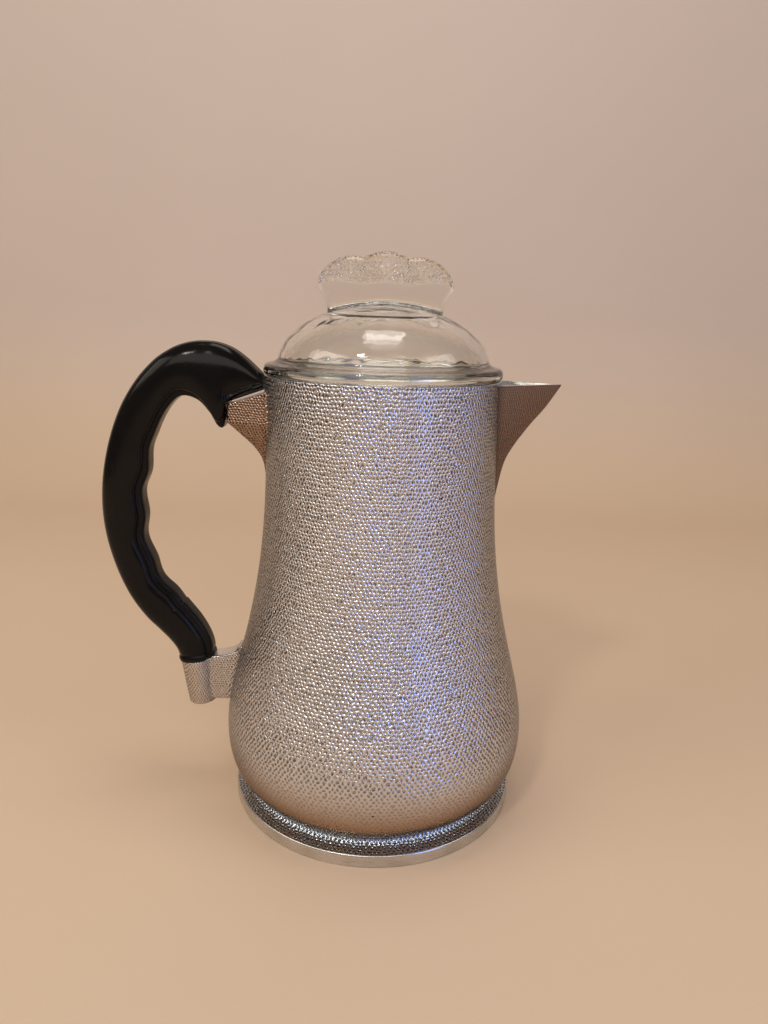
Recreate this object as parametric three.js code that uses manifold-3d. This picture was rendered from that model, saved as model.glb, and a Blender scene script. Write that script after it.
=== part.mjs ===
// Stovetop percolator coffee pot: cast body, open spout, moulded handle, glass lid and percolator works.
// Millimetres, +Z up. The origin is the centre of the flat base. The spout points to +X, the handle to -X.
import * as THREE from 'three';
import { mergeVertices } from 'three/addons/utils/BufferGeometryUtils.js';
import Module from 'manifold-3d';

const wasm = await Module();
wasm.setup();

// ---------------------------------------------------------------- driving dimensions
const GAP = 0.3;                      // clearance between neighbouring pieces
const FULL_TURN = 2 * Math.PI;

const BELLY = { r: 77.8, z: 38.8 };   // widest point of the body
const NECK = { r: 56.6, z: 185 };     // narrowest point of the body
const RIM = { r: 57, z: 219 };        // top edge, which carries the lid
const BODY_WALL = 3.6;
const BODY_SIDES = 40;
const FLOOR_Z = 5;                    // inside floor
const SPIGOT = { r: 59.5, z: 9.8 };   // flat base plug that the foot ring goes round
const BODY_BOTTOM_R = 66.2;           // where the belly meets the foot ring

const FOOT_R = 73.7;                  // outside of the foot's smooth band
const FOOT_BAND_H = 6.3;
const FOOT_LAND = { r: 70, z: 6.8 };  // inner end of the hammered land
const FOOT_COVE_R = 66.4;             // top of the cove

const SPOUT_TOP_Z = 217.3;
const SPOUT_WALL = 2.8;
const SPOUT_BOTTOM_Z = 160;
const SPOUT_HALF_WIDTH = 19;          // at the body, at the top edge
const SPOUT_CHANNEL_Z = 180;          // lowest point of the open channel
const SPOUT_KEEL = [[57, 158], [58.7, 164], [61.3, 178.4], [65.6, 187.1], [72.7, 197.5], [79.4, 205.7],
  [86.7, 217.3]];
const KEEL_HALF = 1.1;
const STRAINER_ROWS = [[5, 208.5], [4, 201], [3, 193.5], [2, 186]];
const STRAINER_PITCH = 5.6;
const STRAINER_R = 2;

const BRACKET_HALF_WIDTH = 17;        // upper bracket at the body
const BRACKET_END_HALF = 7.5;         // upper bracket at its outer end
const BRACKET_FACE = { x0: -73.1, z0: 204.6, x1: -54.1, z1: 210.9 };
const BRACKET_UNDERSIDE = [[-55, 160], [-55.7, 166.4], [-56.1, 171.4], [-58.3, 177.6], [-61.9, 183.2],
  [-65.7, 187.4], [-72.1, 193.7]];
const TONGUE = { x0: -69.5, x1: -61.5, half: 4, z: 216 };

const SOCKET_TOP = new THREE.Vector3(-95, 0, 69.1);
const SOCKET_TILT = THREE.MathUtils.degToRad(-6);
const SOCKET = { topR: 8.6, bottomR: 7.4, length: 25.4, pocketR: 5.6, pocketDepth: 13 };
const BOLT = { holeR: 2.3, shankR: 1.8, headR: 4, headH: 3, recessR: 4.6, recessDepth: 5.4, length: 23.6 };
const WASHER_H = 1;
const INSERT = { r: 3.6, holeR: 2.1, length: 14.5 };
const TENON = { r: 5.3, length: 12.6 };
const HANDLE_ROOM_R = 11;              // cleared above the socket for the end of the handle
const WEB = { half: 5.8, bottomZ: 46.5, topZ: 71.5 };

const GRIP_GROOVE_DEPTH = 1.3;        // finger grooves on the inside of the handle
const GRIP_GROOVE_COUNT = 4;
// Handle stations from the beak to the lower end: outer x, z, inner x, z, half width.
const GRIP_STATIONS = [
  [-56.6, 217.4, -55.9, 211.7, 7.5],
  [-64.5, 225.4, -65, 208.2, 9],
  [-72.5, 230.9, -73.8, 205, 9.6],
  [-80, 233.1, -75.9, 193.4, 10],
  [-86.5, 233.4, -79.4, 193.2, 10],
  [-92, 233, -84.5, 200.8, 10],
  [-97.5, 231.6, -91, 206.4, 10],
  [-104, 228.5, -98.5, 206.2, 10],
  [-112, 222.5, -104.5, 199.8, 10],
  [-120.5, 212.2, -110, 190.5, 10],
  [-128.3, 198.9, -114, 181, 10],
  [-134.3, 182.5, -116.3, 170, 10],
  [-138.2, 165.5, -117.3, 158, 10],
  [-139.2, 149, -117.9, 146, 10],
  [-137.2, 131.5, -117, 131, 10],
  [-131, 111, -111.8, 116.5, 9.8],
  [-121.5, 94, -104, 105, 9.5],
  [-111.5, 83, -94.5, 94, 9],
  [-105.2, 76, -88, 82.5, 8.8],
  [-103.6, 68.6, -86.3, 70.4, 8.7],
];

const LID = { flangeR: 57.3, flangeH: 5, skirtR: 51.9, skirtDrop: 6, wall: 4, domeR: 51, domeZ: 222, domeH: 30 };
const FAN = { halfWidth: 32.3, flareZ: 259.5, neckHalf: 27.4, neckZ: 249.5, baseHalfY: 3.8, topHalfY: 2.4 };
// Scallop notches of the fan, from its right-hand corner to its middle, and each lobe's bulge.
const FAN_NOTCHES = [[32.3, 259.5], [27.6, 269], [10.7, 273.1], [-10.7, 273.1], [-27.6, 269], [-32.3, 259.5]];
const FAN_BULGES = [1.2, 2.3, 3.3, 2.3, 1.2];

const STEM = { r: 4.75, boreR: 3.7, bottomZ: 21, topZ: 212 };
const BELL = { r: 31, wall: 1.2, neckR: 6.3, neckZ: 28, shoulderZ: 19, bottomZ: 5.3 };
const BELL_FOOT_H = 2.6;              // height of the water inlets between the bell's feet
const PLATE = { r: 28, z: 8.4, t: 1, holeR: 3.4 };
const VALVE = { r: 9, z: 9.7, t: 0.8 };
const STOP = { r: 8, z: 144, t: 3 };
const BASKET = { r: 45, rimR: 48.5, bottomZ: 148, topZ: 203, wall: 1.1 };
const SLEEVE = { boreR: 5.15, r: 6.2 };
const SPREADER = { r: 47.5, z: 204.8, t: 1, collarR: 6.8, collarZ: 209 };

// ---------------------------------------------------------------- geometry helpers
/** Merges shared vertices, drops empty triangles and makes the faces point out. */
function weld(geometry) {
  const bare = geometry.clone();
  bare.deleteAttribute('normal');
  bare.deleteAttribute('uv');
  const merged = mergeVertices(bare, 1e-4);
  const source = merged.index.array;
  const kept = [];
  for (let i = 0; i < source.length; i += 3) {
    const [a, b, c] = [source[i], source[i + 1], source[i + 2]];
    if (a !== b && b !== c && c !== a) kept.push(a, b, c);
  }
  const position = merged.attributes.position;
  const [p, q, r] = [new THREE.Vector3(), new THREE.Vector3(), new THREE.Vector3()];
  let volume = 0;
  for (let i = 0; i < kept.length; i += 3) {
    p.fromBufferAttribute(position, kept[i]);
    q.fromBufferAttribute(position, kept[i + 1]);
    r.fromBufferAttribute(position, kept[i + 2]);
    volume += p.dot(q.cross(r));
  }
  if (volume < 0) kept.reverse();
  merged.setIndex(kept);
  return merged;
}

/** Turns a closed geometry into a solid that can be joined and cut. */
function solid(geometry) {
  const welded = weld(geometry);
  return new wasm.Manifold(new wasm.Mesh({
    numProp: 3,
    vertProperties: Float32Array.from(welded.attributes.position.array),
    triVerts: Uint32Array.from(welded.index.array),
  }));
}

/** Turns a solid back into a geometry. */
function geometryOf(body) {
  const mesh = body.getMesh();
  const geometry = new THREE.BufferGeometry();
  geometry.setAttribute('position', new THREE.BufferAttribute(mesh.vertProperties, 3));
  geometry.setIndex(new THREE.BufferAttribute(mesh.triVerts, 1));
  return geometry;
}

/** Revolves [radius, z] points about Z. */
function lathe(profile, sides) {
  const points = profile.map(([r, z]) => new THREE.Vector2(r, z));
  return weld(new THREE.LatheGeometry(points, sides).rotateX(Math.PI / 2));
}

/** Revolves a closed ring profile, given without its repeated last point. */
function ring(profile, sides) {
  return lathe([...profile, profile[0]], sides);
}

/** Washer or plain tube between two radii and two heights. */
function tube(outerR, innerR, z0, z1, sides) {
  return ring([[innerR, z0], [outerR, z0], [outerR, z1], [innerR, z1]], sides);
}

/** Solid cylinder, or a cone frustum when the top radius is given. */
function rod(bottomR, z0, z1, sides, topR = bottomR) {
  return lathe([[0, z0], [bottomR, z0], [topR, z1], [0, z1]], sides);
}

/** Extrudes a polygon of [x, z] points along Y, centred on y = 0. */
function sideSlab(points, halfY) {
  const shape = new THREE.Shape(points.map(([x, z]) => new THREE.Vector2(x, z)));
  const slab = new THREE.ExtrudeGeometry(shape, { depth: 2 * halfY, bevelEnabled: false, steps: 1 });
  return slab.rotateX(Math.PI / 2).translate(0, halfY, 0);
}

/** Extrudes a polygon of [x, y] points along Z. */
function planSlab(points, z0, z1) {
  const shape = new THREE.Shape(points.map(([x, y]) => new THREE.Vector2(x, y)));
  return new THREE.ExtrudeGeometry(shape, { depth: z1 - z0, bevelEnabled: false, steps: 1 }).translate(0, 0, z0);
}

/** Skins a row of equal loops of points and closes both ends with fans. */
function loft(loops) {
  const count = loops[0].length;
  const positions = loops.flat().flatMap((point) => point.toArray());
  const index = [];
  for (let k = 0; k + 1 < loops.length; k += 1) {
    for (let i = 0; i < count; i += 1) {
      const [a, b] = [k * count + i, k * count + ((i + 1) % count)];
      index.push(a, b, b + count, a, b + count, a + count);
    }
  }
  const last = (loops.length - 1) * count;
  for (let i = 1; i + 1 < count; i += 1) {
    index.push(0, i + 1, i);
    index.push(last, last + i, last + i + 1);
  }
  const geometry = new THREE.BufferGeometry();
  geometry.setAttribute('position', new THREE.Float32BufferAttribute(positions, 3));
  geometry.setIndex(index);
  return geometry;
}

/** Points of a cubic Bezier between two [r, z] points, without its first point. */
function bezier(start, control1, control2, end, steps) {
  const curve = new THREE.CubicBezierCurve(...[start, control1, control2, end].map(([r, z]) =>
    new THREE.Vector2(r, z)));
  return curve.getPoints(steps).slice(1).map((point) => [point.x, point.y]);
}

/** Linear look-up of the first column against the second, in a list of pairs. */
function lookUp(pairs, key) {
  const found = pairs.findIndex((pair) => pair[1] >= key);
  const next = found < 0 ? pairs.length - 1 : Math.max(1, found);
  const [low, high] = [pairs[next - 1], pairs[next]];
  return low[0] + ((high[0] - low[0]) * (key - low[1])) / (high[1] - low[1]);
}

/** Holes on rings about Z, as one cutting solid. */
function ringHoles(rings, holeR, z0, z1, sides) {
  let holes = null;
  for (const [ringR, count] of rings) {
    for (let i = 0; i < count; i += 1) {
      const angle = (i * FULL_TURN) / count;
      const hole = rod(holeR, z0, z1, sides).translate(ringR * Math.cos(angle), ringR * Math.sin(angle), 0);
      holes = holes ? holes.add(solid(hole)) : solid(hole);
    }
  }
  return holes;
}

// ---------------------------------------------------------------- cast body and foot
/** Body profile from the foot ring to the rim, moved in by a wall thickness. */
function bodySide(inset) {
  const foot = [BODY_BOTTOM_R - inset, SPIGOT.z + inset];
  const belly = [BELLY.r - inset, BELLY.z];
  const neck = [NECK.r - inset, NECK.z];
  return [
    foot,
    ...bezier(foot, [71.5 - inset, 14.5 + inset], [BELLY.r - inset, 20 + inset], belly, 5),
    ...bezier(belly, [BELLY.r - inset, 68.8], [NECK.r - inset, 97.6], neck, 8),
    [RIM.r - inset, RIM.z],
  ];
}

function bodyEnvelope() {
  const side = bodySide(-GAP);
  return solid(lathe([[0, -5], [side[0][0], -5], ...side, [RIM.r + GAP, RIM.z + 30], [0, RIM.z + 30]], BODY_SIDES));
}

function makeBodyShell() {
  const outside = bodySide(0);
  const inside = bodySide(BODY_WALL).reverse();
  const profile = [[0, 0], [SPIGOT.r, 0], [SPIGOT.r, SPIGOT.z], ...outside, ...inside,
    [SPIGOT.r - 4, FLOOR_Z], [0, FLOOR_Z]];
  let shell = solid(lathe(profile, BODY_SIDES));
  for (const [count, z] of STRAINER_ROWS) {
    for (let i = 0; i < count; i += 1) {
      const y = (i - (count - 1) / 2) * STRAINER_PITCH;
      const hole = new THREE.CylinderGeometry(STRAINER_R, STRAINER_R, 24, 6).rotateZ(Math.PI / 2);
      shell = shell.subtract(solid(hole.translate(RIM.r - BODY_WALL, y, z)));
    }
  }
  return geometryOf(shell);
}

function makeFootRing() {
  const inner = SPIGOT.r + GAP;
  return ring([
    [inner, 0], [FOOT_R - 0.6, 0], [FOOT_R, 0.6], [FOOT_R, FOOT_BAND_H - 1], [FOOT_R - 1, FOOT_BAND_H],
    [FOOT_LAND.r, FOOT_LAND.z], [FOOT_LAND.r - 2.2, FOOT_LAND.z + 0.7], [FOOT_COVE_R, SPIGOT.z - GAP],
    [inner, SPIGOT.z - GAP],
  ], BODY_SIDES);
}

// ---------------------------------------------------------------- spout and handle brackets
/** Half width at the body of a wedge that stands out this far: wide at the top, narrow where it dies away. */
function wedgeHalfWidth(reach, fullReach, fullHalf) {
  return fullHalf * (Math.max(reach, 0.5) / fullReach) ** 0.4;
}

/** V section of the spout at one height, its flanks carried on into the body. */
function spoutSection(z, wall) {
  const seamX = NECK.r - 1;
  const keelX = lookUp(SPOUT_KEEL, z);
  const reach = keelX - seamX;
  const half = wedgeHalfWidth(reach, SPOUT_KEEL.at(-1)[0] - seamX, SPOUT_HALF_WIDTH);
  const slope = (half - KEEL_HALF) / reach;
  const apexX = keelX - wall * Math.hypot(1, slope) / slope;
  const apexHalf = wall > 0 ? 0.4 : KEEL_HALF;
  const backX = seamX - 8;
  const backHalf = apexHalf + slope * (apexX - backX);
  return [[apexX, -apexHalf], [apexX, apexHalf], [backX, backHalf], [backX, -backHalf]].map(([x, y]) =>
    new THREE.Vector3(x, y, z));
}

function heights(from, to, steps) {
  return Array.from({ length: steps + 1 }, (_, i) => from + ((to - from) * i) / steps);
}

function makeSpout(envelope) {
  const outer = loft(heights(SPOUT_BOTTOM_Z, SPOUT_TOP_Z, 12).map((z) => spoutSection(z, 0)));
  const channel = loft(heights(SPOUT_CHANNEL_Z, SPOUT_TOP_Z + 6, 9).map((z) => spoutSection(z, SPOUT_WALL)));
  return geometryOf(solid(outer).subtract(solid(channel)).subtract(envelope));
}

function bracketSection(z) {
  const seamX = -(NECK.r - 1);
  const fullReach = seamX - BRACKET_FACE.x0;
  const reach = Math.min(seamX - lookUp(BRACKET_UNDERSIDE, z), fullReach);
  const half = wedgeHalfWidth(reach, fullReach, BRACKET_HALF_WIDTH);
  const endHalf = Math.min(BRACKET_END_HALF, half * 0.6);
  const endX = seamX - reach;
  const backHalf = half + 6;
  return [[endX, endHalf], [endX, -endHalf], [seamX, -half], [-45, -backHalf], [-45, backHalf], [seamX, half]]
    .map(([x, y]) => new THREE.Vector3(x, y, z));
}

function makeUpperBracket(envelope) {
  const face = BRACKET_FACE;
  const tall = loft([...heights(BRACKET_UNDERSIDE[0][1], 193.7, 9), 216].map((z) => bracketSection(z)));
  const above = sideSlab([[face.x0 - 20, face.z0 - 6.6], [face.x1 + 20, face.z1 + 6.6], [face.x1 + 20, 240],
    [face.x0 - 20, 240]], 40);
  const tongue = sideSlab([[TONGUE.x0, 200], [TONGUE.x1, 200], [TONGUE.x1, TONGUE.z], [TONGUE.x0, TONGUE.z]],
    TONGUE.half);
  return geometryOf(solid(tall).subtract(solid(above)).subtract(envelope).add(solid(tongue)));
}

/** Local frame of the lower joint: the origin is the middle of the socket's mouth, +Z is up its axis. */
const socketFrame = new THREE.Group();
socketFrame.position.copy(SOCKET_TOP);
socketFrame.rotation.y = SOCKET_TILT;
socketFrame.updateMatrixWorld(true);

/** Moves a geometry drawn in the lower joint's frame to its place on the pot. */
function inSocket(geometry) {
  return geometry.clone().applyMatrix4(socketFrame.matrixWorld);
}

function makeLowerSocket(envelope) {
  const foot = -SOCKET.length;
  const barrel = inSocket(rod(SOCKET.bottomR, foot, 0, 20, SOCKET.topR));
  const web = sideSlab([[-88, WEB.bottomZ], [-70, WEB.bottomZ], [-60, 60], [-60, 84], [-68.4, 84], [-69.4, 80],
    [-71.2, 76.4], [-74, 73.4], [-78, WEB.topZ], [-88, WEB.topZ]], 16);
  const plan = planSlab([[-92, -WEB.half], [-78, -WEB.half], [-74, -WEB.half - 0.8], [-70, -WEB.half - 3],
    [-60, -WEB.half - 5], [-60, WEB.half + 5], [-70, WEB.half + 3], [-74, WEB.half + 0.8], [-78, WEB.half],
    [-92, WEB.half]], 40, 90);
  const pocket = inSocket(rod(SOCKET.pocketR, -SOCKET.pocketDepth, 5, 20));
  const boltHole = inSocket(rod(BOLT.holeR, foot - 5, 5, 16));
  const recess = inSocket(rod(BOLT.recessR, foot - 5, foot + BOLT.recessDepth, 20));
  const handleRoom = inSocket(rod(HANDLE_ROOM_R, 0, 20, 20));
  return geometryOf(solid(web).intersect(solid(plan)).add(solid(barrel))
    .subtract(solid(handleRoom)).subtract(solid(pocket)).subtract(solid(boltHole)).subtract(solid(recess))
    .subtract(envelope));
}

// ---------------------------------------------------------------- handle and its fixings
/** Closed loop round one station of the handle, flatter than an ellipse. */
function gripLoop(outer, inner, half) {
  const points = 12;
  const centre = outer.clone().add(inner).multiplyScalar(0.5);
  const reach = outer.clone().sub(inner).multiplyScalar(0.5);
  return Array.from({ length: points }, (_, i) => {
    const angle = (i * FULL_TURN) / points;
    const [c, s] = [Math.cos(angle), Math.sin(angle)];
    const [u, v] = [c, s].map((value) => Math.sign(value) * Math.abs(value) ** 0.75);
    return new THREE.Vector3(centre.x + reach.x * u, half * v, centre.y + reach.y * u);
  });
}

/** Depth of the finger grooves along the handle, from 0 at the beak to 1 at the lower end. */
function groove(along) {
  const [start, end] = [0.53, 0.92];
  if (along <= start || along >= end) return 0;
  return GRIP_GROOVE_DEPTH * 0.5 * (1 - Math.cos(((along - start) / (end - start)) * GRIP_GROOVE_COUNT * FULL_TURN));
}

function gripCurves() {
  const pick = (i, j) => new THREE.SplineCurve(GRIP_STATIONS.map((row) => new THREE.Vector2(row[i], row[j])));
  return { outer: pick(0, 1), inner: pick(2, 3), half: GRIP_STATIONS.map((row) => row[4]) };
}

function makeGrip(envelope) {
  const { outer, inner, half } = gripCurves();
  const steps = 40;
  const loops = heights(0, 1, steps).map((along) => {
    const [o, i] = [outer.getPoint(along), inner.getPoint(along)];
    const inward = i.clone().sub(o).normalize();
    const place = along * (half.length - 1);
    const low = Math.min(Math.floor(place), half.length - 2);
    const width = THREE.MathUtils.lerp(half[low], half[low + 1], place - low);
    return gripLoop(o, i.addScaledVector(inward, 0.8 - groove(along)), width);
  });
  const face = BRACKET_FACE;
  const bracketRoom = sideSlab([[face.x0 - 1.9, 180], [face.x0 - 1.9, face.z0 - 0.1], [face.x1 + 10, face.z1 + 3.8],
    [face.x1 + 10, 180]], 30);
  const tongueRoom = sideSlab([[TONGUE.x0 - GAP, 200], [TONGUE.x1 + GAP, 200], [TONGUE.x1 + GAP, TONGUE.z + GAP],
    [TONGUE.x0 - GAP, TONGUE.z + GAP]], TONGUE.half + GAP);
  const belowMouth = inSocket(rod(14, -30, GAP, 24));
  const tenon = inSocket(rod(TENON.r, -TENON.length, 4, 20));
  const insertRoom = inSocket(rod(INSERT.r + GAP, -TENON.length - 2, INSERT.length - TENON.length + 1, 20));
  return geometryOf(solid(loft(loops)).subtract(solid(belowMouth)).subtract(solid(bracketRoom))
    .subtract(solid(tongueRoom)).subtract(envelope).add(solid(tenon)).subtract(solid(insertRoom)));
}

/** Bolt drawn in the lower joint's frame, its head in the recess and its end in the brass insert. */
function makeBolt() {
  const headTop = -SOCKET.length + BOLT.recessDepth - WASHER_H - 2 * GAP;
  const headBottom = headTop - BOLT.headH;
  const slotDepth = 1.2;
  const bolt = solid(lathe([[0, headBottom], [BOLT.headR - 0.7, headBottom], [BOLT.headR, headBottom + 0.7],
    [BOLT.headR, headTop], [BOLT.shankR, headTop], [BOLT.shankR, headTop + BOLT.length - 1],
    [BOLT.shankR - 0.6, headTop + BOLT.length], [0, headTop + BOLT.length]], 20));
  const slot = new THREE.BoxGeometry(2 * BOLT.headR + 2, 1.1, 2 * slotDepth).translate(0, 0, headBottom);
  return geometryOf(bolt.subtract(solid(slot)));
}

function makeLockWasher() {
  const top = -SOCKET.length + BOLT.recessDepth - GAP;
  const washer = solid(tube(BOLT.headR, BOLT.shankR + GAP, top - WASHER_H, top, 20));
  const split = new THREE.BoxGeometry(4, 0.9, 6).translate(BOLT.headR - 1, 0, top);
  return geometryOf(washer.subtract(solid(split)));
}

function makeInsert() {
  return tube(INSERT.r, INSERT.holeR, -TENON.length + GAP, INSERT.length - TENON.length + GAP, 6);
}

// ---------------------------------------------------------------- glass lid
/** Points of the dome from its foot to the crown, moved in by a wall thickness. */
function domeSide(inset, fromZ, steps) {
  const [r, h] = [LID.domeR - inset, LID.domeH - inset];
  const exponent = 2.1;
  const start = Math.asin(((fromZ - LID.domeZ) / h) ** (exponent / 2));
  return heights(start, Math.PI / 2, steps).map((angle) =>
    [r * Math.max(Math.cos(angle), 0) ** (2 / exponent), LID.domeZ + h * Math.sin(angle) ** (2 / exponent)]);
}

/** Points of one scalloped lobe of the fan between two notches. */
function lobe([x0, z0], [x1, z1], bulge) {
  const [dx, dz] = [x1 - x0, z1 - z0];
  const chord = Math.hypot(dx, dz);
  return heights(0, 1, 5).slice(0, -1).map((t) => {
    const out = 4 * bulge * t * (1 - t);
    return [x0 + dx * t + (dz / chord) * out, z0 + dz * t - (dx / chord) * out];
  });
}

function makeLid() {
  const bottom = RIM.z + GAP;
  const top = bottom + LID.flangeH;
  const outer = domeSide(0, 226.5, 7);
  const inner = domeSide(LID.wall, 222.6, 6).reverse();
  const dome = solid(lathe([
    [LID.skirtR - LID.wall, RIM.z - LID.skirtDrop], [LID.skirtR - 0.8, RIM.z - LID.skirtDrop],
    [LID.skirtR, bottom], [LID.flangeR - 0.9, bottom], [LID.flangeR, bottom + 1.2], [LID.flangeR, top - 1.6],
    [LID.flangeR - 1.2, top - 0.3], [LID.domeR + 1.4, top + 1], ...outer.slice(0, -1), [0, outer.at(-1)[1]],
    [0, inner[0][1]], ...inner.slice(1), [LID.skirtR - LID.wall, RIM.z - LID.skirtDrop],
  ].filter((point, i, all) => i === 0 || point[0] !== all[i - 1][0] || point[1] !== all[i - 1][1]), 36));
  const lobes = FAN_BULGES.flatMap((bulge, i) => lobe(FAN_NOTCHES[i], FAN_NOTCHES[i + 1], bulge));
  const rightSide = bezier([FAN.neckHalf, 247.6], [FAN.neckHalf, 253], [28.6, 255.5], [FAN.halfWidth, FAN.flareZ], 5);
  const leftSide = rightSide.slice(0, -1).map(([x, z]) => [-x, z]).reverse();
  const outline = [[FAN.neckHalf, 247.6], ...rightSide.slice(0, -1), ...lobes, FAN_NOTCHES.at(-1), ...leftSide,
    [-FAN.neckHalf, 247.6], [0, 249.5]];
  const fan = solid(sideSlab(outline, 6));
  const taper = new THREE.Shape([[-FAN.baseHalfY, 245], [FAN.baseHalfY, 245], [FAN.topHalfY, 277],
    [-FAN.topHalfY, 277]].map(([y, z]) => new THREE.Vector2(y, z)));
  const wedge = new THREE.ExtrudeGeometry(taper, { depth: 80, bevelEnabled: false, steps: 1 });
  wedge.rotateX(Math.PI / 2).rotateZ(Math.PI / 2).translate(-40, 0, 0);
  return geometryOf(dome.add(fan.intersect(solid(wedge))));
}

// ---------------------------------------------------------------- percolator works
function makeBell() {
  const { r, wall, neckR, neckZ, shoulderZ, bottomZ } = BELL;
  const flare = bezier([r, bottomZ + 3.4], [r - 1, 13], [neckR + 8, shoulderZ - 3], [neckR + 2, shoulderZ], 5);
  const inside = flare.map(([x, z]) => [x - wall, z - wall * 0.6]).reverse();
  const bore = STEM.r + GAP;
  const bell = solid(ring([[r - wall, bottomZ], [r, bottomZ], [r, bottomZ + 3.4], ...flare, [neckR, shoulderZ + 2],
    [neckR, neckZ], [bore, neckZ], [bore, shoulderZ + 0.6], ...inside, [r - wall, bottomZ + 3]], 24));
  let feet = bell;
  for (let i = 0; i < 3; i += 1) {
    const inlet = new THREE.BoxGeometry(14, 26, 2 * BELL_FOOT_H).translate(r, 0, bottomZ);
    feet = feet.subtract(solid(inlet.rotateZ((i * FULL_TURN) / 3)));
  }
  return geometryOf(feet);
}

function makeBasket() {
  const { r, rimR, bottomZ, topZ, wall } = BASKET;
  const bore = SLEEVE.r + GAP;
  const cup = solid(ring([[bore, bottomZ], [r - 2, bottomZ], [r, bottomZ + 2], [r + 1, topZ - 1.2], [rimR, topZ - 1.2],
    [rimR, topZ], [r + 1 - wall, topZ], [r - wall, bottomZ + 2.4], [r - 2.4, bottomZ + wall], [bore, bottomZ + wall]],
  30));
  return geometryOf(cup.subtract(ringHoles([[15, 8], [26, 12], [37, 16]], 1.6, bottomZ - 2, bottomZ + 4, 6)));
}

function makeSpreader() {
  const { r, z, t, collarR, collarZ } = SPREADER;
  const bore = STEM.r + 2 * GAP;
  const lipInnerR = BASKET.r - 1.2;
  const disc = solid(ring([[bore, z], [r, z - 1.5], [r, z - 1.5 + t], [collarR + 3, z + t], [collarR, z + t + 1],
    [collarR, collarZ], [bore, collarZ]].map(([x, y]) => [x, x === r ? y + 1.5 : y]), 30));
  const lip = solid(tube(lipInnerR, lipInnerR - t, z - 3, z + t / 2, 30));
  return geometryOf(disc.add(lip).subtract(
    ringHoles([[15, 8], [25, 12], [35, 16]], 1.4, z - 2, z + 3, 6)));
}

// ---------------------------------------------------------------- assembly
const cast = { color: 0xa9a8a6, roughness: 0.38, metalness: 1 };
const polished = { color: 0xc9c8c6, roughness: 0.22, metalness: 1 };
const spun = { color: 0xd2d3d4, roughness: 0.3, metalness: 1 };
const phenolic = { color: 0x0c0b0b, roughness: 0.16, metalness: 0 };
const glass = { color: 0xe9ece4, roughness: 0.04, metalness: 0, transparent: true, opacity: 0.35 };
const steel = { color: 0x9b9c9e, roughness: 0.35, metalness: 1 };
const brass = { color: 0xb98d3e, roughness: 0.35, metalness: 1 };

const group = new THREE.Group();

function place(parent, name, geometry, finish) {
  const shaded = geometry.index ? geometry.toNonIndexed() : geometry;
  shaded.computeVertexNormals();
  const mesh = new THREE.Mesh(shaded, new THREE.MeshStandardMaterial(finish));
  mesh.name = name;
  parent.add(mesh);
}

const envelope = bodyEnvelope();
place(group, 'body_shell', makeBodyShell(), cast);
place(group, 'foot_ring', makeFootRing(), polished);
place(group, 'pouring_spout', makeSpout(envelope), cast);
place(group, 'upper_handle_bracket', makeUpperBracket(envelope), cast);
place(group, 'lower_handle_socket', makeLowerSocket(envelope), cast);
place(group, 'handle_grip', makeGrip(envelope), phenolic);
place(socketFrame, 'handle_bolt', makeBolt(), steel);
place(socketFrame, 'handle_lock_washer', makeLockWasher(), steel);
place(socketFrame, 'handle_insert', makeInsert(), brass);
group.add(socketFrame);
place(group, 'glass_lid', makeLid(), glass);
place(group, 'pump_tube', tube(STEM.r, STEM.boreR, STEM.bottomZ, STEM.topZ, 20), spun);
place(group, 'pump_bell', makeBell(), spun);
place(group, 'bell_plate', tube(PLATE.r, PLATE.holeR, PLATE.z, PLATE.z + PLATE.t, 32), spun);
place(group, 'valve_washer', rod(VALVE.r, VALVE.z, VALVE.z + VALVE.t, 24), steel);
place(group, 'basket_stop', tube(STOP.r, STEM.r + GAP, STOP.z, STOP.z + STOP.t, 20), spun);
place(group, 'coffee_basket', makeBasket(), spun);
place(group, 'basket_sleeve', tube(SLEEVE.r, SLEEVE.boreR, STOP.z + STOP.t + GAP, BASKET.topZ - 4, 20), spun);
place(group, 'spreader_lid', makeSpreader(), spun);

export default group;
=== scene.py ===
"""Looks of the stovetop percolator coffee pot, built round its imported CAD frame.

Profiles and outlines are in millimetres in the row frame and become metres when a mesh is made.
"""
import math

import bmesh
import bpy
import numpy as np
from mathutils import Matrix, Vector


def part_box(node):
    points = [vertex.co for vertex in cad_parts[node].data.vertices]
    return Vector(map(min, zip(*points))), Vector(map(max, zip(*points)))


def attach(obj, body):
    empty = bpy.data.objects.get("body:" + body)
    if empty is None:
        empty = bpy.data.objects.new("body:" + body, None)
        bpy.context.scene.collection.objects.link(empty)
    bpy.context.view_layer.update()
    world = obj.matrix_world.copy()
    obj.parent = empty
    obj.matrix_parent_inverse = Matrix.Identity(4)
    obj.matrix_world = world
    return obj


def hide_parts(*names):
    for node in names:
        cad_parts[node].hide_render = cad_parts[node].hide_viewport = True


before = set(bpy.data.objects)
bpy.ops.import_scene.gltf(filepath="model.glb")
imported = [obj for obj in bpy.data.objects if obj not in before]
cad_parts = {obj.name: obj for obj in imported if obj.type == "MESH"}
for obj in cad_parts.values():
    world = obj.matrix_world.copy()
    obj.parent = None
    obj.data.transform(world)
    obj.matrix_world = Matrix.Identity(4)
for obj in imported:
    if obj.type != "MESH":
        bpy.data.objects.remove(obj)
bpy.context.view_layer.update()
MM = 0.001


def node_box(node):
    """Lowest and highest corner of a CAD node, in millimetres."""
    low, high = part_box(node)
    return np.array(low) / MM, np.array(high) / MM


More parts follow.
